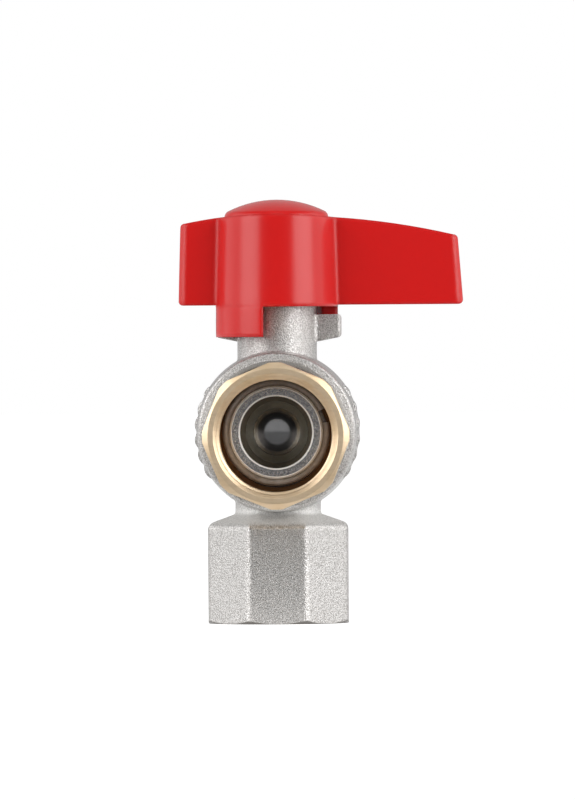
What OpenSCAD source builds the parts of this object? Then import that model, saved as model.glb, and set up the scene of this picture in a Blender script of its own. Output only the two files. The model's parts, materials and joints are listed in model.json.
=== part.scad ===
// Angle ball valve with a loose union nut on its front outlet, closed, in millimetres.
// The stem's axis is +Z, the union faces -Y and the long wing of the handle points to +X.
// The origin is the centre of the bottom port's mouth.
// s is the distance from the stem's axis towards the front, which is -Y.

/* [Pipe threads] */
// Radius of the pipe thread, in the bottom port and in the union nut
thread_r = 10.48; // [9.5:0.01:11.5]
// Depth of the bottom port's thread
thread_depth = 14; // [12:0.1:14.5]
// Depth of the countersink at both thread mouths
mouth_depth = 0.5; // [0.2:0.1:0.5]
// Width of the countersink at both thread mouths
mouth_width = 0.6; // [0.3:0.1:0.7]

/* [Ball and seats] */
// Radius of the ball
ball_r = 10.5; // [10:0.1:11]
// Radius of the waterway through the ball and below it
bore_r = 5; // [4:0.1:5.4]
// Gap between the ball and the chamber's wall
chamber_gap = 0.35; // [0.3:0.05:0.6]
// Step from the ball's bore to the hole in a seat
seat_hole_step = 0.6; // [0.4:0.1:1]
// Outer radius of a seat
seat_r = 8.8; // [8.3:0.1:9]
// Distance from the rim of the seat's hole to its back
seat_back_t = 2; // [1.6:0.1:2.4]
// Length of a seat along the bore
seat_len = 3.9; // [3.6:0.1:4.2]
// Length of the seat that stands out of its pocket
seat_proud = 0.3; // [0.2:0.1:0.6]
// Gap between the ball and a seat's round face
seat_face_gap = 0.03; // [0.02:0.01:0.06]
// Gap around and behind a seat in its pocket
seat_fit = 0.04; // [0.02:0.01:0.08]

/* [Socket and necks] */
// Wall between the bottom thread and the flats of the octagon
socket_wall = 2.02; // [1.8:0.01:2.6]
// Radius of the octagon's upright edges
socket_edge_r = 1.8; // [0.6:0.1:2]
// Height of the socket's upright flats
socket_h = 16.7; // [16.4:0.1:18]
// Radius of the round from the flats to the shoulder
socket_top_edge_r = 1.5; // [0.8:0.1:2]
// Slope of the shoulder that climbs from the flats to the neck, in degrees
shoulder_slope = 20; // [15:0.1:26]
// Radius of the lower neck
lower_neck_r = 7.65; // [7:0.05:8.2]
// Gap between the shoulder's lower edge and the underside of the barrel
neck_gap = 1.54; // [1.2:0.01:3]
// Radius of the upper neck
upper_neck_r = 7.1; // [6.8:0.05:7.4]
// Length of the stem's bore above the flange pocket
gland_len = 13; // [12.6:0.1:14]
// Radius of the fillets between necks and barrel
neck_fillet = 0.9; // [0.5:0.1:1.5]

/* [Barrel] */
// Wall around the front thread, before the barrel's draft
barrel_wall = 2.6; // [2:0.1:3.2]
// Step from the chamber to the bore for the connector's nose
nose_step = 0.7; // [0.6:0.05:1.1]
// Step from the nose's bore to the front thread
front_thread_step = 0.4; // [0.3:0.05:0.7]
// Length of the connector's nose
nose_len = 2.12; // [2:0.01:2.6]
// Length of the front thread
front_thread_len = 3.6; // [3:0.1:5]
// Wall behind the rear seat
rear_wall = 2.3; // [1.8:0.1:3]
// Rise of the domed rear face
rear_rise = 0.4; // [0.2:0.1:0.8]
// Radius of the barrel's rear edge
rear_edge_r = 3; // [1.5:0.1:3.5]
// Radius of the barrel's front edge
front_edge_r = 0.4; // [0.2:0.1:0.8]
// Amount by which the forging's draft narrows the barrel's front
front_draft = 0.45; // [0.2:0.05:0.6]
// Number of grip ribs on each side of the barrel
rib_count = 6; // [3:1:6]
// Angle from one rib to the next, in degrees
rib_pitch = 12; // [9:1:13]
// Radius of a rib's rounded back
rib_back_r = 2.2; // [1.2:0.1:3]
// Height of the ribs
rib_h = 0.2; // [0.1:0.05:0.6]
// Length of the ribs along the barrel
rib_len = 14; // [10:0.5:20]

/* [Stop lugs] */
// Radius to the outer face of the lug under the long wing
lug_r = 11.5; // [10.8:0.1:12.2]
// Radius to the outer face of the lug under the short wing
short_lug_r = 10.9; // [10.4:0.1:12]
// Thickness of a lug
lug_t = 4.4; // [3.4:0.1:5]
// Height of a lug's outer face
lug_h = 4.15; // [3.6:0.05:4.6]
// Radius of a lug's outer edges
lug_edge_r = 0.7; // [0.3:0.1:1.2]
// Slope of a lug's underside
lug_slope = 0.18; // [0:0.02:0.3]
// Gap between the top of the lugs and the handle
lug_gap = 1.4; // [1:0.1:2]
// Gap between a lug and a tab of the handle at either stop
stop_gap = 0.1; // [0.05:0.01:0.2]

/* [End connector and union nut] */
// Gap around the connector's nose and thread
connector_fit = 0.03; // [0.02:0.01:0.06]
// Width across the flats of the connector's hexagon
hex_af = 20; // [19:0.1:21]
// Length of the connector's hexagon
hex_len = 1.5; // [1.2:0.1:3]
// Gap between the nut's thread and the tail
tail_gap = 2.21; // [2.1:0.01:2.45]
// Length of the tail in front of the hexagon
tail_len = 5.1; // [4.9:0.1:5.6]
// Radius of the tail's bore
tail_bore_r = 6.38; // [5.9:0.01:6.8]
// Radius of the retaining ring's wire
ring_wire_r = 0.9; // [0.8:0.05:0.95]
// Distance from the tail's face to the middle of the ring's wire
ring_setback = 1.75; // [1.6:0.05:1.9]
// Share of the wire's thickness that sits in its groove
ring_seat_share = 0.3; // [0.2:0.05:0.4]
// Front view angle where the ring's gap starts, in degrees
ring_gap_start = 11; // [0:1:340]
// Width of the ring's gap, in degrees
ring_gap_width = 15; // [6:1:30]
// Wall between the nut's thread and its flats
nut_wall = 1.92; // [1.6:0.01:2.4]
// Length of the nut
nut_len = 12.1; // [11.6:0.1:14]
// Gap between the connector's hexagon and the nut
nut_gap = 0.4; // [0.3:0.1:1]
// Thickness of the nut's lip
lip_t = 1.7; // [1.4:0.1:1.8]
// Gap between the tail and the lip
lip_gap = 0.9; // [0.8:0.05:1]
// Distance that the loose nut hangs below the tail's axis
nut_drop = 0.6; // [0:0.05:0.6]
// Angle that the nut is turned, in degrees
nut_turn = 0.5; // [0:0.5:44]
// Depth turned off the nut's corners
nut_corner_cut = 0.4; // [0.1:0.05:0.5]
// Slope of the nut's turned end chamfers, in degrees
nut_chamfer_slope = 30; // [20:1:40]
// Distance from the nut's flats in to the rim of its end faces
nut_face_inset = 0.4; // [0.2:0.05:0.6]

/* [Stem] */
// Radius of the stem
stem_r = 4; // [3.8:0.05:4.2]
// Gap around the stem, its flange and its washer
stem_fit = 0.05; // [0.02:0.01:0.08]
// Radius of the stem's flange
flange_r = 5.5; // [5.2:0.1:5.8]
// Thickness of the stem's flange
flange_t = 1.8; // [1.4:0.1:2.2]
// Thickness of the thrust washer
thrust_t = 1; // [0.8:0.1:1.4]
// Thickness of the tang that turns the ball
tang_t = 3.6; // [3:0.1:4]
// Depth of the slot in the ball
slot_depth = 3.4; // [3:0.1:3.6]
// Radius of the disc cutter that leaves the slot
slot_cutter_r = 6.5; // [6:0.1:7]
// Side gap between the tang and the slot
slot_gap = 0.1; // [0.05:0.01:0.2]
// Radius of an O-ring's cord on the stem
stem_o_ring_t = 0.6; // [0.5:0.01:0.65]
// Distance from one stem O-ring to the other
o_ring_pitch = 4; // [3:0.1:4.5]
// Width across the flats of the square that carries the handle
square_w = 6; // [5.6:0.1:6.2]
// Radius of the screw's thread
screw_r = 2; // [1.5:0.05:2]
// Depth of the screw's hole
screw_depth = 9; // [7:0.1:9.5]

/* [Handle] */
// Gap between the handle's inner top and the neck
cup_gap = 1.4; // [1:0.1:2]
// Gap around the neck inside the handle
cup_side_gap = 1.2; // [0.8:0.1:1.3]
// Length of the neck that the handle covers
cup_cover = 4.5; // [3.6:0.1:5]
// Thickness of the web that sits on the square
web_t = 4.4; // [3.6:0.1:5]
// Depth of the round well from the cap's seat to the web
well_depth = 5.2; // [5:0.1:6]
// Radius of the well
well_r = 7.8; // [7.4:0.1:8]
// Depth of the cap's recess under the crown of the hub
cap_recess = 1; // [0.8:0.1:1.6]
// Radius of the hub at its bottom
hub_r = 10.95; // [10.8:0.05:11.2]
// Draft by which the hub narrows to its top
hub_draft = 0.45; // [0:0.05:0.6]
// Drop of the crowned top from the hub's middle to its side
crown_drop = 0.6; // [0.3:0.1:0.8]
// Thickness of the wings
wing_t = 5; // [4:0.1:6]
// Distance from the hub's bottom up to the wings' bottom edges
wing_raise = 0.27; // [0:0.01:1]
// Reach of the long wing from the stem's axis
long_reach = 33.25; // [28:0.05:40]
// Distance that the long wing's end leans inwards
long_lean = 1.1; // [0:0.1:2]
// Drop of the long wing's top edge from the hub to its end
long_drop = 3.2; // [1:0.1:5]
// Bulge of the long wing's top edge
long_bulge = 0.44; // [0.1:0.02:0.8]
// Reach of the short wing from the stem's axis
short_reach = 17.55; // [15:0.05:24]
// Distance that the short wing's end leans inwards
short_lean = 0.45; // [0:0.05:1]
// Drop of the short wing's top edge from the hub to its end
short_drop = 1; // [0.4:0.1:3]
// Bulge of the short wing's top edge
short_bulge = 0.05; // [0.02:0.01:0.1]
// Radius of the wings' corners seen from the front
wing_corner_r = 0.8; // [0.4:0.1:1.5]
// Radius of the wings' upright edges
wing_edge_r = 1.4; // [0.6:0.1:1.9]
// Radius of the fillets between the wings and the hub
wing_fillet = 0.7; // [0.4:0.1:2]
// Radius to the outside of the stop tabs
tab_r = 11.1; // [11:0.05:11.6]
// Length of the stop tabs below the handle
tab_len = 5.4; // [4.6:0.1:5.6]

/* [Cap and screw] */
// Radius of the cap
cap_r = 9.27; // [8.8:0.01:9.6]
// Height of the cap's upright edge
cap_edge = 0.5; // [0.2:0.1:1]
// Radius of the round from the cap's edge to its dome
cap_round = 1.2; // [0.5:0.1:1.6]
// Rise of the cap over its upright edge
cap_rise = 3.1; // [2.4:0.1:4]
// Wall of the cap
cap_wall = 1; // [0.8:0.1:1.2]
// Depth that the cap's plug reaches into the well
plug_depth = 1.6; // [1:0.1:1.6]
// Gap around the cap and its plug
plug_fit = 0.05; // [0.02:0.01:0.1]
// Radius of the screw's head
screw_head_r = 4; // [3.5:0.1:4.5]
// Height of the screw's head
screw_head_h = 2.6; // [2:0.1:2.6]
// Thickness of the lock washer
lock_washer_t = 1; // [0.6:0.1:1]

/* [Hidden] */
$fn = 96;
red = [0.8, 0.08, 0.07];
nickel = [0.62, 0.6, 0.57];
brass = [0.78, 0.66, 0.45];
steel = [0.7, 0.7, 0.72];
ptfe = [0.93, 0.93, 0.9];
rubber = [0.08, 0.08, 0.08];

// Radii inside the barrel, from the ball outwards
chamber_r = ball_r + chamber_gap;
nose_bore_r = chamber_r + nose_step;
front_thread_r = nose_bore_r + front_thread_step;
barrel_r = front_thread_r + barrel_wall;
seat_hole_r = bore_r + seat_hole_step;
seat_pocket_r = seat_r + seat_fit;

// Distances from the ball's centre along the barrel
seat_back_s = sqrt(pow(ball_r, 2) - pow(seat_hole_r, 2)) + seat_back_t;
pocket_floor_s = seat_back_s + seat_fit;
pocket_mouth_s = seat_back_s - seat_len + seat_proud;
nose_end_s = pocket_mouth_s + nose_len;
front_s = nose_end_s + front_thread_len;
rear_s = pocket_floor_s + rear_wall;
hex_end_s = front_s + hex_len;
tail_face_s = hex_end_s + tail_len;
ring_s = tail_face_s - ring_setback;

// Heights from the bottom port upwards
socket_flat_r = thread_r + socket_wall;
shoulder_r = socket_flat_r - socket_top_edge_r * (1 - sin(shoulder_slope));
shoulder_z = socket_h + socket_top_edge_r * cos(shoulder_slope);
shoulder_top_z = shoulder_z + (shoulder_r - lower_neck_r) * tan(shoulder_slope);
axis_z = shoulder_z + neck_gap + barrel_r;
flange_z = axis_z + chamber_r + stem_fit;
thrust_z = flange_z + flange_t + stem_fit;
gland_z = thrust_z + thrust_t + stem_fit;
neck_top_z = gland_z + gland_len;
handle_z = neck_top_z - cup_cover;
web_z = neck_top_z + cup_gap;
web_top_z = web_z + web_t;
cap_z = web_top_z + well_depth;
handle_top_z = cap_z + cap_recess;
handle_side_z = handle_top_z - crown_drop;
handle_h = handle_top_z - handle_z;
lug_top_z = handle_z - lug_gap;
slot_floor_z = axis_z + ball_r - slot_depth;
slot_centre_z = slot_floor_z + slot_cutter_r;

// Seals
nose_r = nose_bore_r - connector_fit;
o_ring_t = 0.47;
nose_groove_r = nose_bore_r - 2 * o_ring_t - 2 * connector_fit;
nose_groove_w = 2.5 * o_ring_t;
nose_groove_s = pocket_mouth_s + nose_len / 2;
stem_bore_r = stem_r + stem_fit;
stem_groove_r = stem_bore_r - 2 * stem_o_ring_t - stem_fit;
stem_groove_w = 2.6 * stem_o_ring_t;
o_ring_lower_z = gland_z + 2.5;
o_ring_upper_z = o_ring_lower_z + o_ring_pitch;

// Union nut
tail_r = thread_r - tail_gap;
ring_centre_r = tail_r + ring_wire_r * (1 - 2 * ring_seat_share);
ring_outer_r = ring_centre_r + ring_wire_r;
nut_back_s = hex_end_s + nut_gap;
nut_front_s = nut_back_s + nut_len;
lip_front_s = nut_back_s + lip_t;
nut_undercut_r = thread_r + 0.27;
nut_thread_s = tail_face_s + 0.1;
nut_z = axis_z - nut_drop;
nut_half_af = thread_r + nut_wall;
nut_corner_r = nut_half_af / cos(22.5);
nut_flat_r = nut_half_af - nut_face_inset;
nut_turned_r = nut_corner_r - nut_corner_cut;

// Handle
cup_r = upper_neck_r + cup_side_gap;
crown_r = (pow(hub_r - hub_draft, 2) + pow(crown_drop, 2)) / (2 * crown_drop);
plug_r = well_r - plug_fit;
tab_side = lug_t / 2 + stop_gap;

// Points on an arc round (x, y) from angle a to angle b
function arc(x, y, r, a, b, n = 5) =
    [for (i = [0:n]) let (t = a + (b - a) * i / n) [x + r * cos(t), y + r * sin(t)]];

// Points from (x0, y0) to (x1, y1) along a parabola that bulges by h to its left
function bulge(x0, y0, x1, y1, h, n = 8) =
    let (l = norm([x1 - x0, y1 - y0]))
    [for (i = [0:n]) let (t = i / n, k = 4 * h * t * (1 - t) / l)
        [x0 + (x1 - x0) * t - (y1 - y0) * k, y0 + (y1 - y0) * t + (x1 - x0) * k]];

// Outline of a regular octagon with rounded corners, half_af from the centre to its flats
function octagon_outline(half_af, r) =
    [for (k = [0:7]) let (a = 22.5 + 45 * k, c = (half_af - r) / cos(22.5))
        each arc(c * cos(a), c * sin(a), r, a - 22.5, a + 22.5, 4)];

// Points in reverse order, mirrored over the x axis
function mirrored(points) =
    [for (i = [len(points) - 1:-1:0]) [points[i].x, -points[i].y]];

// Plan of the fillets where a bar of the given half width leaves a round of radius r
function root_outline(r, half, fillet) =
    let (x = sqrt(pow(r + fillet, 2) - pow(half + fillet, 2)),
         side = arc(x, half + fillet, fillet, 180 + atan2(half + fillet, x), 270))
    concat([[0, 0]], side, mirrored(side));

// Plan of a bar from the axis to x = tip, with both outer corners rounded
function bar_outline(tip, half, r) =
    let (side = concat([[0, half]], arc(tip - r, half - r, r, 90, 0)))
    concat(side, mirrored(side));

// Turns a shape built along +Z so that it points out of the front, at height z
module to_front(z = axis_z) {
    translate([0, 0, z])
        rotate([90, 0, 0])
            children();
}

// Ring of rectangular section from height z
module ring(outer_r, inner_r, z, h) {
    translate([0, 0, z])
        rotate_extrude()
            translate([inner_r, 0])
                square([outer_r - inner_r, h]);
}

// O-ring or wire ring round the z axis
module torus(centre_r, wire_r, z) {
    rotate_extrude()
        translate([centre_r, z])
            circle(r = wire_r, $fn = 48);
}

// One pair of the octagon's flats, with a rounded edge up to the shoulder
module shoulder_side() {
    roof_r = lower_neck_r - 1;
    side = concat(
        [[socket_flat_r, 0]],
        arc(socket_flat_r - socket_top_edge_r, socket_h, socket_top_edge_r, 0, 90 - shoulder_slope),
        [[roof_r, shoulder_z + (shoulder_r - roof_r) * tan(shoulder_slope)]]
    );
    left = [for (i = [len(side) - 1:-1:0]) [-side[i].x, side[i].y]];
    rotate([90, 0, 0])
        linear_extrude(height = 4 * socket_flat_r, center = true)
            polygon(concat(side, left));
}

// Octagon with a turned bottom chamfer, and its shoulder
module socket() {
    chamfer_w = 2;
    chamfer_h = chamfer_w * tan(30);
    intersection() {
        linear_extrude(height = axis_z)
            polygon(octagon_outline(socket_flat_r, socket_edge_r));
        intersection_for(turn = [0:45:135])
            rotate(turn)
                shoulder_side();
        rotate_extrude()
            polygon([
                [0, 0], [socket_flat_r, 0], [socket_flat_r + chamfer_w, chamfer_h],
                [socket_flat_r + chamfer_w, axis_z], [0, axis_z]
            ]);
    }
}

// Neck that rises from the shoulder to the barrel, with a fillet at both ends
module lower_neck() {
    root_r = 0.7;
    root_z = shoulder_top_z + root_r * (1 - sin(shoulder_slope)) / cos(shoulder_slope);
    root_turn = 255 - shoulder_slope;
    flare_z = axis_z - sqrt(pow(barrel_r, 2) - pow(lower_neck_r, 2)) - neck_fillet / 2;
    foot = arc(lower_neck_r + root_r, root_z, root_r, root_turn, 180, 4);
    rotate_extrude()
        polygon(concat(
            [[0, socket_h], [lower_neck_r, socket_h]],
            [[foot[0].x - sin(root_turn), foot[0].y + cos(root_turn)]],
            foot,
            arc(lower_neck_r + neck_fillet, flare_z, neck_fillet, 180, 135, 4),
            [[lower_neck_r, axis_z], [0, axis_z]]
        ));
}

// Round barrel with a domed back, a rolled rear edge and a front that narrows with the draft
module barrel() {
    back_r = barrel_r - rear_edge_r;
    front_r = barrel_r - front_draft - front_edge_r;
    to_front()
        rotate_extrude()
            polygon(concat(
                [[0, -rear_s - rear_rise], [back_r / 2, -rear_s - rear_rise * 3 / 4]],
                arc(back_r, rear_edge_r - rear_s, rear_edge_r, -90, 0, 6),
                [[barrel_r, 0]],
                arc(front_r, front_s - front_edge_r, front_edge_r, 0, 90, 4),
                [[0, front_s]]
            ));
}

// Low grip ribs with rounded backs on both sides of the barrel
module barrel_ribs() {
    to_front()
        linear_extrude(height = rib_len, center = true)
            for (side = [0, 180], i = [0:rib_count - 1])
                rotate(side + (i - (rib_count - 1) / 2) * rib_pitch)
                    translate([barrel_r + rib_h - rib_back_r, 0])
                        circle(r = rib_back_r);
}

// Neck for the stem, flared where it leaves the barrel
module upper_neck() {
    flare_z = axis_z + sqrt(pow(barrel_r, 2) - pow(upper_neck_r, 2)) + neck_fillet / 2;
    rotate_extrude()
        polygon(concat(
            [[0, axis_z], [upper_neck_r, axis_z]],
            arc(upper_neck_r + neck_fillet, flare_z, neck_fillet, 225, 180, 4),
            [[upper_neck_r, neck_top_z - 0.4], [upper_neck_r - 0.4, neck_top_z], [0, neck_top_z]]
        ));
}

// Stop lug on the +X side that reaches out to the given radius, with a sloping underside
module stop_lug(reach) {
    root_x = upper_neck_r - 2;
    low_z = lug_top_z - lug_h;
    r = lug_edge_r;
    intersection() {
        rotate([90, 0, 0])
            linear_extrude(height = 3 * lug_t, center = true)
                polygon(concat(
                    [[root_x, lug_top_z]],
                    arc(reach - r, lug_top_z - r, r, 90, 0, 4),
                    arc(reach - r, low_z + r, r, 0, atan(lug_slope) - 90, 4),
                    [[root_x, low_z - lug_slope * (reach - root_x)]]
                ));
        translate([0, 0, axis_z])
            linear_extrude(height = neck_top_z - axis_z)
                union() {
                    polygon(bar_outline(reach, lug_t / 2, lug_edge_r));
                    polygon(root_outline(upper_neck_r, lug_t / 2, 1));
                }
    }
}

// Bottom thread, its seat for a pipe end and the waterway up to the ball
module bottom_port() {
    rotate_extrude()
        polygon([
            [0, -1], [thread_r + mouth_width, -1],
            [thread_r + mouth_width, 0], [thread_r, mouth_depth],
            [thread_r, thread_depth], [thread_r - 1.48, thread_depth],
            [bore_r, thread_depth + 3.4], [bore_r, axis_z], [0, axis_z]
        ]);
}

// Ball chamber with the rear seat's pocket and the stepped front bore
module barrel_bores() {
    bore_mouth_s = pocket_mouth_s - 0.28;
    to_front()
        rotate_extrude()
            polygon([
                [0, -pocket_floor_s], [seat_pocket_r, -pocket_floor_s],
                [seat_pocket_r, -pocket_mouth_s], [chamber_r, -pocket_mouth_s],
                [chamber_r, bore_mouth_s], [nose_bore_r, bore_mouth_s],
                [nose_bore_r, nose_end_s], [front_thread_r, nose_end_s],
                [front_thread_r, front_s + 1], [0, front_s + 1]
            ]);
}

// Pocket for the flange and the bore for the stem
module gland_bores() {
    translate([0, 0, axis_z])
        cylinder(r = flange_r + 0.25, h = gland_z - axis_z);
    translate([0, 0, axis_z])
        cylinder(r = stem_bore_r, h = neck_top_z - axis_z + 1);
}

module body() {
    color(nickel)
        difference() {
            union() {
                socket();
                lower_neck();
                barrel();
                barrel_ribs();
                upper_neck();
                stop_lug(lug_r);
                rotate([0, 0, 180])
                    stop_lug(short_lug_r);
            }
            bottom_port();
            barrel_bores();
            gland_bores();
        }
}

module end_connector() {
    face_edge = 0.3;
    groove_w = 2 * ring_wire_r + 0.1;
    groove_r = ring_centre_r - ring_wire_r - 0.05;
    throat_r = seat_hole_r - 0.1;
    color(nickel)
        to_front()
            difference() {
                union() {
                    // Nose and thread in the barrel, then the tail
                    rotate_extrude()
                        polygon([
                            [0, pocket_mouth_s], [nose_r - 0.25, pocket_mouth_s],
                            [nose_r, pocket_mouth_s + 0.25],
                            [nose_r, nose_groove_s - nose_groove_w / 2],
                            [nose_groove_r, nose_groove_s - nose_groove_w / 2],
                            [nose_groove_r, nose_groove_s + nose_groove_w / 2],
                            [nose_r, nose_groove_s + nose_groove_w / 2],
                            [nose_r, nose_end_s], [front_thread_r - connector_fit, nose_end_s],
                            [front_thread_r - connector_fit, front_s], [tail_r, front_s],
                            [tail_r, ring_s - groove_w / 2], [groove_r, ring_s - groove_w / 2],
                            [groove_r, ring_s + groove_w / 2], [tail_r, ring_s + groove_w / 2],
                            [tail_r, tail_face_s - face_edge], [tail_r - face_edge, tail_face_s],
                            [0, tail_face_s]
                        ]);
                    translate([0, 0, front_s])
                        rotate(30)
                            cylinder(r = hex_af / 2 / cos(30), h = hex_len, $fn = 6);
                }
                // Seat pocket, throat and outlet bore
                rotate_extrude()
                    polygon([
                        [0, pocket_mouth_s - 1], [seat_pocket_r, pocket_mouth_s - 1],
                        [seat_pocket_r, pocket_floor_s], [throat_r, pocket_floor_s],
                        [throat_r, pocket_floor_s + 0.7], [tail_bore_r, pocket_floor_s + 1.9],
                        [tail_bore_r, tail_face_s - face_edge],
                        [tail_bore_r + face_edge, tail_face_s],
                        [tail_bore_r + face_edge, tail_face_s + 1], [0, tail_face_s + 1]
                    ]);
            }
}

module connector_o_ring() {
    color(rubber)
        to_front()
            torus(nose_bore_r - o_ring_t - connector_fit, o_ring_t, nose_groove_s);
}

// Seat ring in front of the ball, its round face fitted to the ball
module seat_ring() {
    color(ptfe)
        to_front()
            difference() {
                ring(seat_r, seat_hole_r, seat_back_s - seat_len, seat_len);
                sphere(r = ball_r + seat_face_gap);
            }
}

module front_seat() {
    seat_ring();
}

module rear_seat() {
    rotate([0, 0, 180])
        seat_ring();
}

// Ball with an angled bore, from the bottom to the side, and a slot for the stem's tang
module ball() {
    overrun = 0.6 * bore_r;
    color(steel)
        difference() {
            translate([0, 0, axis_z])
                sphere(r = ball_r);
            translate([0, 0, axis_z - ball_r - 1])
                cylinder(r = bore_r, h = ball_r + 1 + overrun);
            translate([overrun, 0, axis_z])
                rotate([0, -90, 0])
                    cylinder(r = bore_r, h = ball_r + 1 + overrun);
            translate([0, 0, slot_centre_z])
                rotate([0, 90, 0])
                    cylinder(r = slot_cutter_r, h = tang_t + 2 * slot_gap, center = true);
        }
}

// Tang rounded like the ball's slot
module tang() {
    half_w = flange_r - 0.3;
    intersection() {
        translate([0, 0, slot_centre_z])
            rotate([0, 90, 0])
                cylinder(r = slot_cutter_r - 0.2, h = tang_t, center = true);
        translate([-tang_t, -half_w, slot_floor_z - 1])
            cube([2 * tang_t, 2 * half_w, flange_z - slot_floor_z + 1.5]);
    }
}

module stem() {
    square_h = web_t - 0.2;
    color(steel)
        difference() {
            union() {
                tang();
                translate([0, 0, flange_z])
                    cylinder(r = flange_r, h = flange_t);
                translate([0, 0, flange_z])
                    cylinder(r = stem_r, h = web_z - flange_z);
                intersection() {
                    translate([0, 0, web_z - 1])
                        cylinder(r = stem_r, h = square_h + 1);
                    translate([-square_w / 2, -square_w / 2, web_z - 2])
                        cube([square_w, square_w, square_h + 3]);
                }
            }
            for (z = [o_ring_lower_z, o_ring_upper_z])
                ring(stem_r + 1, stem_groove_r, z - stem_groove_w / 2, stem_groove_w);
            translate([0, 0, web_z + square_h - screw_depth])
                cylinder(r = screw_r, h = screw_depth + 1);
        }
}

module stem_thrust_washer() {
    color(ptfe)
        ring(flange_r, stem_r + 2 * stem_fit, thrust_z, thrust_t);
}

module stem_o_ring(z) {
    color(rubber)
        torus(stem_bore_r - stem_o_ring_t - stem_fit / 2, stem_o_ring_t, z);
}

module stem_o_ring_lower() {
    stem_o_ring(o_ring_lower_z);
}

module stem_o_ring_upper() {
    stem_o_ring(o_ring_upper_z);
}

// Upright wing to +X. Its end leans by lean, its top edge falls by drop and bulges.
module wing(reach, lean, drop, edge_bulge) {
    half = wing_t / 2;
    low_z = handle_z + wing_raise;
    end_z = handle_side_z - drop;
    end_tilt = atan(lean / handle_h);
    hub_tilt = atan(hub_draft / handle_h);
    end_x = reach - lean * (end_z - handle_z) / handle_h;
    r = wing_corner_r;
    margin = 3;
    intersection() {
        rotate([90, 0, 0])
            linear_extrude(height = 2 * hub_r, center = true)
                polygon(concat(
                    [[0, low_z]],
                    arc(reach - r, low_z + r, r, -90, 0, 4),
                    arc(end_x - r, end_z - r, r, end_tilt, 80, 4),
                    bulge(end_x - r, end_z, hub_r - hub_draft, handle_side_z, -edge_bulge),
                    [[0, handle_side_z]]
                ));
        translate([0, 0, handle_z])
            union() {
                rotate([0, -end_tilt, 0])
                    translate([0, 0, -margin])
                        linear_extrude(height = handle_h + 2 * margin)
                            polygon(bar_outline(reach, half, wing_edge_r));
                rotate([0, -hub_tilt, 0])
                    translate([0, 0, -margin])
                        linear_extrude(height = handle_h + 2 * margin)
                            polygon(root_outline(hub_r, half, wing_fillet));
            }
    }
}

// Quarter ring below the hub that meets a lug at either end of the quarter turn
module stop_tab() {
    translate([0, 0, handle_z - tab_len])
        linear_extrude(height = tab_len + 0.2)
            intersection() {
                difference() {
                    circle(r = tab_r);
                    circle(r = cup_r);
                }
                translate([tab_side, tab_side])
                    square(tab_r);
            }
}

// Hub with a draft and a crowned top
module hub() {
    intersection() {
        translate([0, 0, handle_z])
            cylinder(r1 = hub_r, r2 = hub_r - hub_draft, h = handle_h);
        translate([0, 0, handle_top_z - crown_r])
            rotate([90, 0, 0])
                cylinder(r = crown_r, h = 3 * hub_r, center = true, $fn = 720);
    }
}

module handle() {
    hole_w = square_w + 0.1;
    color(red)
        difference() {
            union() {
                hub();
                wing(long_reach, long_lean, long_drop, long_bulge);
                rotate([0, 0, 180])
                    wing(short_reach, short_lean, short_drop, short_bulge);
                stop_tab();
                rotate([0, 0, 180])
                    stop_tab();
            }
            translate([0, 0, handle_z - 1])
                cylinder(r = cup_r, h = web_z - handle_z + 1);
            translate([-hole_w / 2, -hole_w / 2, web_z - 1])
                cube([hole_w, hole_w, web_t + 2]);
            translate([0, 0, web_top_z])
                cylinder(r = well_r, h = handle_h);
            translate([0, 0, cap_z])
                cylinder(r = cap_r + plug_fit, h = handle_h);
        }
}

// Split spring washer under the screw's head
module lock_washer() {
    color(steel)
        difference() {
            ring(screw_head_r - 0.2, screw_r + 0.1, web_top_z, lock_washer_t);
            translate([0, 0, web_top_z])
                rotate([0, 0, 30])
                    translate([0, -0.4, -1])
                        cube([screw_head_r + 1, 0.8, lock_washer_t + 2]);
        }
}

// Pan head screw with a hexagon socket
module handle_screw() {
    head_z = web_top_z + lock_washer_t;
    shank = screw_depth + lock_washer_t - 0.5;
    color(steel)
        difference() {
            union() {
                translate([0, 0, head_z - shank])
                    cylinder(r = screw_r - 0.05, h = shank + 0.5);
                translate([0, 0, head_z])
                    rotate_extrude()
                        polygon(concat(
                            [[0, 0], [screw_head_r, 0]],
                            arc(screw_head_r - 1, screw_head_h - 1, 1, 0, 90),
                            [[0, screw_head_h]]
                        ));
            }
            translate([0, 0, head_z + screw_head_h - 1.6])
                cylinder(r = 1.45, h = 2, $fn = 6);
        }
}

// Points over a dome from its edge at radius r to its top, h over the edge, with a rounded edge
function dome(r, h, edge, z) =
    let (a = r - edge, big = (a * a + h * h - edge * edge) / (2 * (h - edge)),
         turn = atan2(big - h, a))
    concat(
        arc(a, z, edge, 0, turn, 4),
        arc(0, z + h - big, big, turn + (90 - turn) / 8, 90, 7)
    );

// Hollow domed cap with a plug that presses into the handle's well
module handle_cap() {
    inner_r = plug_r - cap_wall;
    edge_z = cap_z + cap_edge;
    color(red)
        rotate_extrude()
            difference() {
                polygon(concat(
                    [[0, cap_z - plug_depth], [plug_r, cap_z - plug_depth]],
                    [[plug_r, cap_z], [cap_r, cap_z]],
                    dome(cap_r, cap_rise, cap_round, edge_z)
                ));
                polygon(concat(
                    [[0, cap_z - plug_depth - 1], [inner_r, cap_z - plug_depth - 1]],
                    dome(inner_r, cap_rise - cap_wall, 0.4, edge_z)
                ));
            }
}

// Open wire ring in the tail's groove, which keeps the nut on
module retaining_ring() {
    color([0.55, 0.38, 0.2])
        to_front()
            rotate_extrude(start = ring_gap_start + ring_gap_width, angle = 360 - ring_gap_width)
                translate([ring_centre_r, ring_s])
                    circle(r = ring_wire_r, $fn = 48);
}

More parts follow.
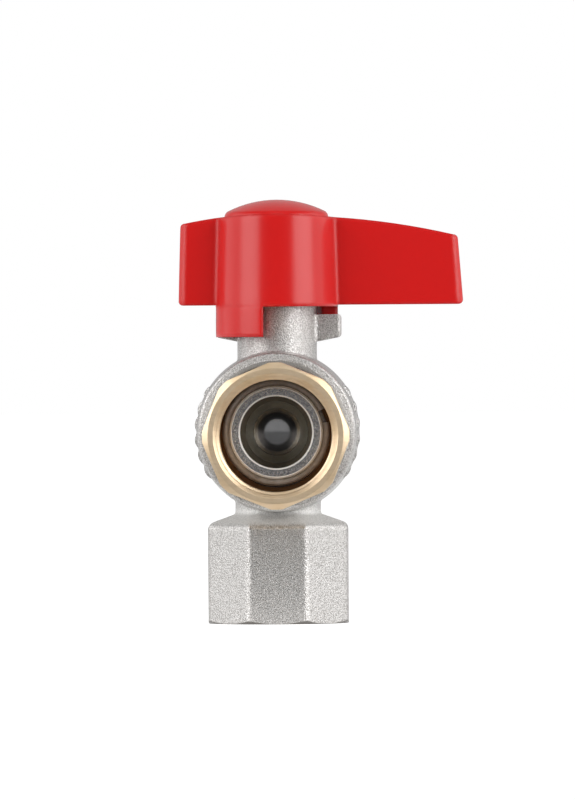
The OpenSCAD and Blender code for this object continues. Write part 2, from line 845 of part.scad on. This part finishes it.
module union_nut() {
    chamfer_h = (nut_turned_r - nut_flat_r) * tan(nut_chamfer_slope);
    lip_hole_r = tail_r + lip_gap;
    color(brass)
        to_front(nut_z)
            difference() {
                intersection() {
                    translate([0, 0, nut_back_s])
                        rotate(nut_turn)
                            cylinder(r = nut_corner_r, h = nut_len, $fn = 8);
                    rotate_extrude()
                        polygon([
                            [0, nut_back_s], [nut_flat_r, nut_back_s],
                            [nut_turned_r, nut_back_s + chamfer_h],
                            [nut_turned_r, nut_front_s - chamfer_h],
                            [nut_flat_r, nut_front_s], [0, nut_front_s]
                        ]);
                }
                rotate_extrude()
                    polygon([
                        [0, nut_back_s - 1], [lip_hole_r, nut_back_s - 1],
                        [lip_hole_r, lip_front_s], [nut_undercut_r, lip_front_s],
                        [nut_undercut_r, nut_thread_s], [thread_r, nut_thread_s],
                        [thread_r, nut_front_s - mouth_depth],
                        [thread_r + mouth_width, nut_front_s],
                        [thread_r + mouth_width, nut_front_s + 1], [0, nut_front_s + 1]
                    ]);
            }
}

body();
end_connector();
connector_o_ring();
front_seat();
rear_seat();
ball();
stem();
stem_thrust_washer();
stem_o_ring_lower();
stem_o_ring_upper();
handle();
lock_washer();
handle_screw();
handle_cap();
retaining_ring();
union_nut();
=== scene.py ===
"""Angle ball valve: finishes, threads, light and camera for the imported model."""
import json
import math

import bpy
import numpy as np
from mathutils import Matrix, Vector


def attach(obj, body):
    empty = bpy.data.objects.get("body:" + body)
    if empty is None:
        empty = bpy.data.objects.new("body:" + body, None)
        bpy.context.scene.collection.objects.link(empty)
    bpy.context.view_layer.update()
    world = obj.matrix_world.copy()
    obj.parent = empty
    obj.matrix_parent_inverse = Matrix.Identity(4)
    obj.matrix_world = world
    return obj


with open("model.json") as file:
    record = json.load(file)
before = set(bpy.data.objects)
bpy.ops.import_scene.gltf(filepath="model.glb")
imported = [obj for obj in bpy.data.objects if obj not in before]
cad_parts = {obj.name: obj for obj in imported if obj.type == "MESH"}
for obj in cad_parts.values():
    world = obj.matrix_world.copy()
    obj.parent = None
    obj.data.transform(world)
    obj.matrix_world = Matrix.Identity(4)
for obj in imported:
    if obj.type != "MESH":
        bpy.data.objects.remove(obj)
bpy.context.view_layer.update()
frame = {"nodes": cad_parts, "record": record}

MM = 0.001
AXIS_Z = 34.2  # height of the ball, the barrel and the tail
NUT_Z = 33.6  # height of the loose nut's axis
TAIL_FACE = 19.6  # from the stem's axis to the tail's sealing face


class Value:
    """An output socket. Arithmetic with it adds Math nodes to its tree."""

    def __init__(self, nodes, socket):
        self.nodes = nodes
        self.socket = socket

    def math(self, operation, *inputs):
        return self.nodes.node("Math", {"operation": operation}, dict(enumerate(inputs)))

    def __add__(self, other):
        return self.math("ADD", self, other)

    __radd__ = __add__

    def __sub__(self, other):
        return self.math("SUBTRACT", self, other)

    def __rsub__(self, other):
        return self.math("SUBTRACT", other, self)

    def __mul__(self, other):
        return self.math("MULTIPLY", self, other)

    __rmul__ = __mul__

    def __truediv__(self, other):
        return self.math("DIVIDE", self, other)

    def __gt__(self, other):
        return self.math("GREATER_THAN", self, other)

    def __lt__(self, other):
        return self.math("LESS_THAN", self, other)

    def sine(self):
        return self.math("SINE", self)

    def power(self, exponent):
        return self.math("POWER", self, exponent)

    def over(self, low, high):
        """0 below low, 1 above high and a smooth step between."""
        return self.nodes.node("MapRange", {"interpolation_type": "SMOOTHSTEP"},
                               {"Value": self, "From Min": low, "From Max": high})


class Nodes:
    """A node tree, filled by node() and by the few helpers that use it."""

    def __init__(self, tree):
        self.tree = tree

    def plug(self, socket, value):
        if isinstance(value, Value):
            self.tree.links.new(value.socket, socket)
        else:
            socket.default_value = value

    def node(self, kind, settings=None, inputs=None, output=0):
        """Adds one node: first its settings, then its sockets. Returns one output."""
        made = self.tree.nodes.new("ShaderNode" + kind)
        for name, value in (settings or {}).items():
            setattr(made, name, value)
        for name, value in (inputs or {}).items():
            self.plug(made.inputs[name], value)
        return Value(self, made.outputs[output])

    def parts(self, vector):
        """The three components of a vector."""
        first = self.node("SeparateXYZ", None, {0: vector})
        return [Value(self, out) for out in first.socket.node.outputs]

    def mix(self, factor, a, b):
        """Colour a where factor is 0 and colour b where it is 1."""
        return self.node("Mix", {"data_type": "RGBA"}, {0: factor, 6: a, 7: b}, output=2)


class Finish(Nodes):
    """A material on object coordinates in millimetres. name is the record's slot."""

    def __init__(self, name, constants):
        self.material = bpy.data.materials.new(name)
        self.material.use_nodes = True
        super().__init__(self.material.node_tree)
        self.shader = self.tree.nodes["Principled BSDF"]
        metres = self.node("TexCoord", output="Object")
        self.place = self.node("VectorMath", {"operation": "SCALE"}, {0: metres, "Scale": 1 / MM})
        self.x, self.y, self.z = self.parts(self.place)
        self.set(constants)

    def set(self, sockets):
        for name, value in sockets.items():
            self.plug(self.shader.inputs[name], value)

    def noise(self, per_mm, detail=2.0, roughness=0.5, stretch=None):
        """Noise with per_mm cells for each millimetre, stretched by a vector if one is given."""
        vector = self.place
        if stretch:
            vector = self.node("VectorMath", {"operation": "MULTIPLY"}, {0: vector, 1: stretch})
        return self.node("TexNoise", None, {"Vector": vector, "Scale": per_mm, "Detail": detail,
                                            "Roughness": roughness})

    def radius(self, a, b, centre=0.0):
        """Distance from an axis whose other two coordinates are a and b."""
        return (a * a + (b - centre).power(2.0)).power(0.5)

    def bevel(self, radius):
        """Normal of the surface with its edges rounded by radius, in millimetres."""
        return self.node("Bevel", {"samples": 6}, {"Radius": radius * MM})

    def bump(self, height, depth, normal):
        """Bends the normal by a height of 0 to 1 that stands depth millimetres high."""
        return self.node("Bump", None, {"Strength": 1.0, "Distance": depth * MM,
                                        "Height": height, "Normal": normal})


def forged_nickel():
    """Shot-blast forging under matt nickel; the bores and the bottom chamfer are turned. The bottom
    chamfer is painted dark as shade, and the shoulder and lower neck under the barrel are painted
    paler as light.
    """
    f = Finish("nickel", {})
    from_stem = f.radius(f.x, f.y)
    from_barrel = f.radius(f.x, f.z, AXIS_Z)
    port = (from_stem < 11.3) * (f.z < 17.6)
    bore = (from_barrel < 12.7) * (f.z > 18.0) * (f.y < 10.5)
    chamfer = (from_stem - 12.5) * math.tan(math.radians(30)) > (f.z - 0.04)
    turned = f.node("Math", {"operation": "MAXIMUM"}, {0: port, 1: bore})
    turned = f.node("Math", {"operation": "MAXIMUM"}, {0: turned, 1: chamfer})
    grain = f.noise(4.4, 1.0, 0.5).over(0.36, 0.64)
    patches = f.noise(0.16, 2.0)
    shine = f.noise(1.1, 1.0)
    lines = (f.z * 22.0).sine() * 0.5 + 0.5
    blasted = 1.0 - turned
    crown = f.node("Math", {"operation": "MAXIMUM"}, {0: 14.1 - from_barrel, 1: 0.0})
    crown = crown * (f.y < -12.0) * (from_barrel > 12.0)
    coarse = 1.0 + f.z.over(19.0, 21.0) * 0.4
    # Shoulder and lower neck under the barrel: painted light. The nickel is mixed paler there, made
    # less metallic and rougher, and its rounding is drawn softer, so that it reads lit.
    painted_light_waist = f.z.over(17.3, 18.3) * (1.0 - f.z.over(19.4, 21.6)) * blasted
    colour = f.mix(patches, (0.71, 0.695, 0.68, 1), (0.66, 0.645, 0.63, 1))
    colour = f.mix(grain, (0.40, 0.385, 0.37, 1), colour)
    colour = f.mix(turned * 0.6, colour, (0.50, 0.47, 0.43, 1))
    # The bottom chamfer is painted dark: painted shade under the socket's lower edge.
    colour = f.mix(chamfer, colour, (0.22, 0.205, 0.19, 1))
    # Paler nickel, painted over the shoulder and lower neck as light.
    pale = f.mix(grain, (0.62, 0.61, 0.59, 1), (0.84, 0.83, 0.81, 1))
    colour = f.mix(painted_light_waist, colour, pale)
    rounded = f.node("Mix", {"data_type": "VECTOR"}, {0: painted_light_waist, 4: f.bevel(0.45), 5: f.bevel(1.6)},
                     output=1)
    f.set({
        "Base Color": colour,
        "Metallic": 0.8 - painted_light_waist * 0.4,
        "Roughness": 0.27 + shine * 0.06 + painted_light_waist * 0.15,
        "Normal": f.bump(grain * coarse * blasted + crown * 10.0 + lines * turned * 0.2, 0.027,
                         rounded),
    })
    return f.material


def turned_nickel():
    """Tail and hexagon: worn plating; the tail face's turned edge lines are painted bright as
    highlights, the bore is painted dark as shade and the brass throat is darkened as shade.
    """
    f = Finish("turned_nickel", {"Metallic": 1.0})
    ring = f.radius(f.x, f.z, AXIS_Z)
    reach = 0.0 - f.y
    lines = (ring * 34.0 + f.noise(0.5) * 3.0).sine() * 0.5 + 0.5
    mottle = f.noise(3.4, 3.0, 0.65)
    front = reach > TAIL_FACE - 0.4
    # Edge lines of the tail face: painted highlights, near-white, rougher and barely metallic.
    painted_outer_rim_highlight = front * (ring > 7.83)
    painted_rim_highlights = front * (ring < 6.66) + painted_outer_rim_highlight
    bore = (ring < 6.5) * (reach > 11.0) * (reach < TAIL_FACE - 0.35)
    throat = bore * (reach < 13.3)
    colour = f.mix(mottle.over(0.4, 0.6), (0.62, 0.60, 0.60, 1), (1.0, 0.98, 0.97, 1))
    colour = f.mix(front, f.mix(mottle, (0.66, 0.645, 0.63, 1), (0.60, 0.585, 0.57, 1)), colour)
    colour = f.mix(painted_rim_highlights, colour, (0.98, 0.95, 0.91, 1))
    # The bore is painted almost black: painted shade deep in the tail.
    colour = f.mix(bore, colour, (0.055, 0.05, 0.046, 1))
    # The throat has a brass colour, darkened here as painted shade in the bore.
    colour = f.mix(throat, colour, (0.30, 0.26, 0.195, 1))
    f.set({
        "Base Color": colour,
        "Metallic": 1.0 - throat * 0.5 - painted_rim_highlights * 0.85,
        "Roughness": 0.14 + mottle * 0.12 + painted_rim_highlights * 0.3,
        "Normal": f.bump(mottle * (1.0 - painted_rim_highlights) + lines * 0.2, 0.045, f.bevel(0.1)),
    })
    return f.material


def nut_brass():
    """Bare brass: rings on the turned ends, fine scratches on the flats, a satin front face; the deep
    lip and undercut behind the thread are painted dark brown as shade.
    """
    f = Finish("nut_brass", {})
    rings = f.radius(f.x, f.z, NUT_Z)
    lines = (rings * 26.0 + f.noise(0.35) * 2.0).sine() * 0.5 + 0.5
    milled = f.noise(3.0, 2.0, 0.5, stretch=(1.0, 0.12, 1.0))
    stain = f.noise(0.22, 3.0, 0.6)
    # Lip and undercut behind the thread: painted shade, dark brown.
    painted_shade_inside = (rings < 10.8) * (f.y > -19.9)
    face = f.y < -26.97
    colour = f.mix(stain.over(0.35, 0.75), (0.89, 0.705, 0.49, 1), (0.83, 0.63, 0.40, 1))
    streaks = f.noise(1.3, 3.0, 0.6, stretch=(0.25, 0.12, 1.5)).over(0.45, 0.68)
    colour = f.mix(streaks * 0.22, colour, (0.62, 0.45, 0.26, 1))
    f.set({
        "Base Color": f.mix(painted_shade_inside, colour, (0.27, 0.145, 0.07, 1)),
        "Metallic": 1.0 - face * 0.2,
        "Roughness": 0.40 + stain * 0.12,
        "Normal": f.bump(lines * 0.35 + milled * 0.4, 0.02, f.bevel(0.12)),
    })
    return f.material


def red_lacquer(name, bevel_radius):
    """Red coat with a faint flow in its gloss and soft edges."""
    f = Finish(name, {"Metallic": 0.0, "IOR": 1.5, "Specular IOR Level": 0.5})
    flow = f.noise(0.25, 2.0)
    peel = f.noise(1.3, 2.0)
    f.set({
        "Base Color": f.mix(flow, (0.65, 0.0062, 0.0056, 1), (0.62, 0.0054, 0.0048, 1)),
        "Roughness": 0.22 + flow * 0.06,
        "Normal": f.bump(peel, 0.006, f.bevel(bevel_radius)),
    })
    return f.material


def plain_finish(name, light, dark, metallic, roughness, per_mm, depth):
    """A finish whose colour wanders from light to dark over a fine grain."""
    f = Finish(name, {"Metallic": metallic})
    grain = f.noise(per_mm, 3.0, 0.6)
    f.set({
        "Base Color": f.mix(grain.over(0.3, 0.7), light, dark),
        "Roughness": roughness + grain * 0.08,
        "Normal": f.bump(grain, depth, f.bevel(0.1)),
    })
    return f.material


FINISHES = {
    "nickel": forged_nickel(),
    "turned_nickel": turned_nickel(),
    "nut_brass": nut_brass(),
    "red_lacquer": red_lacquer("red_lacquer", 1.0),
    "red_plastic": red_lacquer("red_plastic", 0.3),
    "ball_chrome": plain_finish("ball_chrome", (0.76, 0.76, 0.77, 1), (0.72, 0.72, 0.73, 1),
                                1.0, 0.10, 0.8, 0.002),
    "stem_brass": plain_finish("stem_brass", (0.72, 0.60, 0.38, 1), (0.62, 0.50, 0.29, 1),
                               1.0, 0.25, 2.0, 0.01),
    "ring_bronze": plain_finish("ring_bronze", (0.52, 0.46, 0.41, 1), (0.42, 0.36, 0.31, 1),
                                0.1, 0.3, 1.2, 0.01),
    "zinc_steel": plain_finish("zinc_steel", (0.72, 0.73, 0.75, 1), (0.60, 0.61, 0.64, 1),
                               1.0, 0.28, 2.0, 0.01),
    "rubber": plain_finish("rubber", (0.035, 0.035, 0.035, 1), (0.02, 0.02, 0.02, 1),
                           0.0, 0.5, 3.0, 0.01),
    "ptfe": plain_finish("ptfe", (0.80, 0.76, 0.62, 1), (0.72, 0.68, 0.54, 1),
                         0.0, 0.35, 1.5, 0.01),
}


def surface(name, points, slot, body):
    """A closed ring of rings: points[u, v] is joined to its neighbours, and both ways wrap."""
    rows, columns = points.shape[:2]
    index = np.arange(rows * columns).reshape(rows, columns)
    right = np.roll(index, -1, axis=1)
    below = np.roll(index, -1, axis=0)
    corner = np.roll(below, -1, axis=1)
    faces = np.stack([index, right, corner, below], axis=-1).reshape(-1, 4)
    mesh = bpy.data.meshes.new(name)
    mesh.from_pydata((points.reshape(-1, 3) * MM).tolist(), [], faces.tolist())
    mesh.polygons.foreach_set("use_smooth", np.ones(len(faces), bool))
    mesh.materials.append(FINISHES[slot])
    piece = bpy.data.objects.new(name, mesh)
    bpy.context.collection.objects.link(piece)
    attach(piece, body)
    return piece


def thread_lining(root_r, crest_r, pitch, start, end, mouth_r, mouth_slope, phase):
    """Inside thread as radius over turn angle and depth.

    The ridge is the triangle wave of depth / pitch + angle / turn, clipped flat at root and
    crest. A cone at each end cuts it back, and the outer wall closes it 0.15 mm in the metal.
    Returns angles, depths and radii on one grid.
    """
    angle = np.linspace(0.0, 2.0 * np.pi, 192, endpoint=False)[None, :]
    depth = np.linspace(start, end, 150)[:, None]
    turn = depth / pitch + angle / (2.0 * np.pi) + phase
    wave = np.abs((turn % 1.0) - 0.5) * 2.0
    flank = pitch / 2.0 / math.tan(math.radians(27.5))
    radius = np.clip(root_r - 0.01 - flank * (wave - 0.18), crest_r, root_r - 0.01)
    cone = mouth_r - (end - depth) * mouth_slope
    tail = root_r - (depth - start) * 2.0
    radius = np.maximum(radius, np.minimum(np.maximum(cone, tail), root_r + 0.05))
    back = np.full((2, angle.shape[1]), root_r + 0.15)
    radii = np.vstack([radius, back])
    depths = np.vstack([np.broadcast_to(depth, radius.shape),
                        np.full((1, angle.shape[1]), end), np.full((1, angle.shape[1]), start)])
    return np.broadcast_to(angle, radii.shape), depths, radii


def nut_thread():
    """Thread in the union nut; depth runs to the front, which is -Y."""
    angle, depth, radius = thread_lining(10.48, 9.95, 1.814, 19.8, 26.6, 10.6, 1.2, 0.3)
    points = np.stack([radius * np.cos(angle), -depth, NUT_Z + radius * np.sin(angle)], axis=-1)
    return surface("nut_thread", points[:, ::-1], "nut_brass", "nut")


def port_thread():
    """Thread in the bottom port; depth runs down to the mouth."""
    angle, depth, radius = thread_lining(10.48, 9.40, 1.814, -13.9, -0.4, 10.6, 1.2, 0.1)
    points = np.stack([radius * np.cos(angle), radius * np.sin(angle), -depth], axis=-1)
    return surface("port_thread", points, "turned_nickel", "housing")


def dress_nodes():
    slots = {part["node"]: part["material_slot"] for part in frame["record"]["subparts"]}
    for name, node in frame["nodes"].items():
        finish = FINISHES[slots[name]]
        node.data.materials.clear()
        node.data.materials.append(finish)


def studio_world():
    """White to the camera, pale behind the object and dim on the camera's side."""
    world = bpy.data.worlds.new("studio")
    world.use_nodes = True
    bpy.context.scene.world = world
    n = Nodes(world.node_tree)
    background = world.node_tree.nodes["Background"]
    direction = n.node("TexCoord", output="Generated")
    x, y, z = n.parts(direction)
    camera = n.node("LightPath", output="Is Camera Ray")
    room = 0.21 + y.over(-0.3, 0.5) * 0.32 * (1.0 - z.over(0.5, 0.95) * 0.6)
    strength = camera + (1.0 - camera) * room
    background.inputs["Color"].default_value = (1, 1, 1, 1)
    n.plug(background.inputs["Strength"], strength)


def softbox(name, azimuth, low, high, half_angle, distance, radiance, target_z=0.035):
    """Upright area lamp seen between two elevations, turned to the object."""
    az = math.radians(azimuth)
    width = 2.0 * distance * math.tan(math.radians(half_angle))
    bottom = target_z + distance * math.tan(math.radians(low))
    top = target_z + distance * math.tan(math.radians(high))
    lamp = bpy.data.lights.new(name, "AREA")
    lamp.shape = "RECTANGLE"
    lamp.size = width
    lamp.size_y = top - bottom
    lamp.energy = radiance * math.pi * width * (top - bottom)
    light = bpy.data.objects.new(name, lamp)
    bpy.context.collection.objects.link(light)
    light.location = (distance * math.sin(az), -distance * math.cos(az), (bottom + top) / 2)
    light.rotation_euler = (math.radians(90), 0, az)
    light.visible_camera = False
    return light


def top_lamp():
    lamp = bpy.data.lights.new("overhead", "AREA")
    lamp.shape = "SQUARE"
    lamp.size = 0.5
    lamp.energy = 0.9 * math.pi * 0.5 * 0.5
    light = bpy.data.objects.new("overhead", lamp)
    bpy.context.collection.objects.link(light)
    light.location = (0, -0.55, 1.15)
    light.rotation_euler = (math.atan2(0.55, 1.15), 0, 0)
    light.visible_camera = False


def floor():
    """Pale floor, lifted to white for the camera; its shadow stays."""
    mesh = bpy.data.meshes.new("floor")
    s = 6.0
    mesh.from_pydata([(-s, -s, 0), (s, -s, 0), (s, s, 0), (-s, s, 0)], [], [(0, 1, 2, 3)])
    mesh.transform(Matrix.Translation((0, 0, -0.00005)))
    piece = bpy.data.objects.new("floor", mesh)
    bpy.context.collection.objects.link(piece)
    f = Finish("floor_paper", {"Roughness": 0.9, "Specular IOR Level": 0.0,
                               "Emission Color": (1, 1, 1, 1)})
    near = f.y > -45.0
    camera = f.node("LightPath", output="Is Camera Ray")
    glossy = f.node("LightPath", output="Is Glossy Ray")
    diffuse = f.node("LightPath", output="Is Diffuse Ray")
    f.set({"Base Color": f.mix(near, (0.11, 0.11, 0.11, 1), (0.6, 0.6, 0.6, 1)),
           "Emission Strength": camera * (0.99 - near * 0.07) + glossy * near * 0.5
                                + diffuse * 0.35})
    mesh.materials.append(f.material)


def camera():
    """Long lens in front of the union, a little above the axis and to the right."""
    distance, per_metre = 2.5, 5600.0
    yaw, lift, roll = (math.radians(a) for a in (0.8, 0.3, 0.37))
    ahead = Vector((-math.sin(yaw) * math.cos(lift), math.cos(yaw) * math.cos(lift), -math.sin(lift)))
    level_right = ahead.cross(Vector((0, 0, 1))).normalized()
    level_up = level_right.cross(ahead)
    right = level_right * math.cos(roll) - level_up * math.sin(roll)
    up = level_up * math.cos(roll) + level_right * math.sin(roll)
    shown = Vector((0, 0, AXIS_Z * MM))
    centre = shown - right * ((277.7 - 287.5) / per_metre) - up * ((400.0 - 431.5) / per_metre)
    data = bpy.data.cameras.new("camera")
    data.sensor_fit = "VERTICAL"
    data.sensor_height = 36.0
    data.lens = 36.0 * distance * per_metre / 800.0
    data.clip_start = 0.1
    data.clip_end = 60.0
    made = bpy.data.objects.new("camera", data)
    bpy.context.collection.objects.link(made)
    turn = Matrix((right, up, -ahead)).transposed().to_4x4()
    made.matrix_world = Matrix.Translation(centre - ahead * distance) @ turn
    bpy.context.scene.camera = made


dress_nodes()
nut_thread()
port_thread()
studio_world()
softbox("softbox_left", -52.5, -1, 44, 18.5, 1.0, 3.5)
softbox("softbox_left_side", -94, -1, 44, 22, 1.0, 1.0)
softbox("softbox_right", 53.5, -1, 44, 19.5, 1.0, 3.9)
softbox("softbox_right_side", 96, -1, 44, 22, 1.0, 1.1)
top_lamp()
floor()
camera()
bpy.context.scene.view_settings.view_transform = "Standard"
